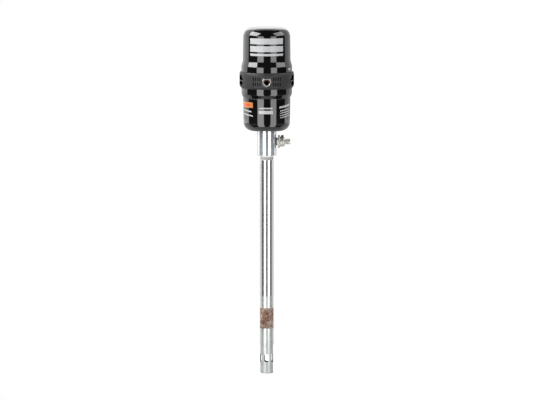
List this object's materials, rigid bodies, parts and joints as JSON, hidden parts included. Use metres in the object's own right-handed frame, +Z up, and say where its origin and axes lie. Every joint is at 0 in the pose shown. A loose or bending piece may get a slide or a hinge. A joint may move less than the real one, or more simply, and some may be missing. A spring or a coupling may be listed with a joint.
{
  "type": "pneumatic grease pump",
  "caption": "Air-driven drum pump for grease: domed air motor with a silencer ring on an outlet body, a long suction tube and a slotted foot valve.",
  "frame": {"origin": "on the pump's axis at the underside of the outlet body, where it seats on the drum cover", "axes": "+Z up the pump's axis, +X towards the grease outlet, -Y towards the air inlet"},
  "size_m": [0.1206, 0.1225, 0.77],
  "materials": {
    "black_paint": "gloss black paint",
    "dark_plastic": "matt moulded dark grey plastic",
    "foam": "open-cell black foam",
    "zinc": "zinc-plated steel",
    "chrome": "polished chrome plate",
    "steel": "ground steel",
    "aluminium": "anodised aluminium",
    "brass": "machined brass",
    "rubber": "moulded seal rubber",
    "white_plastic": "white sealing plastic",
    "black_knob": "black oxide and plastic",
    "magnet": "sintered ferrite",
    "brown_tape": "brown wrap tape"
  },
  "bodies": {
    "pump_housing": {"outlet_body": "zinc", "suction_tube": "chrome", "tube_seal_washer": "white_plastic", "tube_lock_ring": "zinc", "pump_barrel": "zinc", "barrel_wrap": "brown_tape", "foot_sleeve": "zinc", "foot_valve_seat": "steel", "rod_packing": "rubber", "gland_nut": "steel", "rod_wiper": "rubber", "cylinder_base": "aluminium", "air_cylinder": "aluminium", "lower_cover": "black_paint", "lower_bumper": "rubber", "upper_bumper": "rubber", "valve_casting": "black_paint", "silencer_ring": "dark_plastic", "silencer_foam": "foam", "air_inlet_bushing": "brass", "inlet_rim": "chrome", "upper_cover": "black_paint", "valve_sleeve": "aluminium", "sleeve_rings": "rubber", "detent_cage": "aluminium", "detent_lid": "aluminium", "detent_magnets": "magnet", "cage_screws": "steel", "casing_rings": "rubber", "outlet_seal": "rubber", "outlet_adapter": "zinc", "outlet_flange_nut": "zinc", "outlet_block": "zinc", "outlet_nipple": "zinc"},
    "reciprocating_rod": {"air_piston": "aluminium", "piston_seal": "rubber", "piston_rod": "steel", "rod_coupling": "steel", "connecting_rod": "steel", "plunger": "steel", "plunger_seal": "rubber", "primer_rod": "steel", "primer_disc": "steel", "primer_nut": "steel"},
    "valve_spool": {"spool": "steel", "spool_rings": "rubber", "trip_rod": "steel", "trip_knob": "steel", "trip_collar": "steel", "detent_washer": "steel", "detent_nut": "steel", "upper_trip_spring": "steel", "lower_trip_spring": "steel"},
    "ball": {"plunger_ball": "steel"},
    "foot_check": {"foot_valve": "steel"},
    "bleed": {"bleed_screw": "black_knob"}
  },
  "joints": [
    {"name": "pump_stroke", "type": "slide", "parent": "pump_housing", "child": "reciprocating_rod", "axis": [0, 0, 1], "range_m": [-0.06, 0]},
    {"name": "spool_shift", "type": "slide", "parent": "pump_housing", "child": "valve_spool", "axis": [0, 0, 1], "range_m": [-0.006, 0], "deforming": ["upper_trip_spring"]},
    {"name": "foot_valve_lift", "type": "slide", "parent": "pump_housing", "child": "foot_check", "axis": [0, 0, 1], "range_m": [0, 0.0032]},
    {"name": "plunger_ball_lift", "type": "slide", "parent": "reciprocating_rod", "child": "ball", "axis": [0, 0, 1], "range_m": [0, 0.003]},
    {"name": "bleed_screw_turn", "type": "hinge", "parent": "pump_housing", "child": "bleed", "pos_m": [0.0345, 0, 0.0304], "axis": [0, 0, 1], "range_deg": [0, 360]}
  ]
}
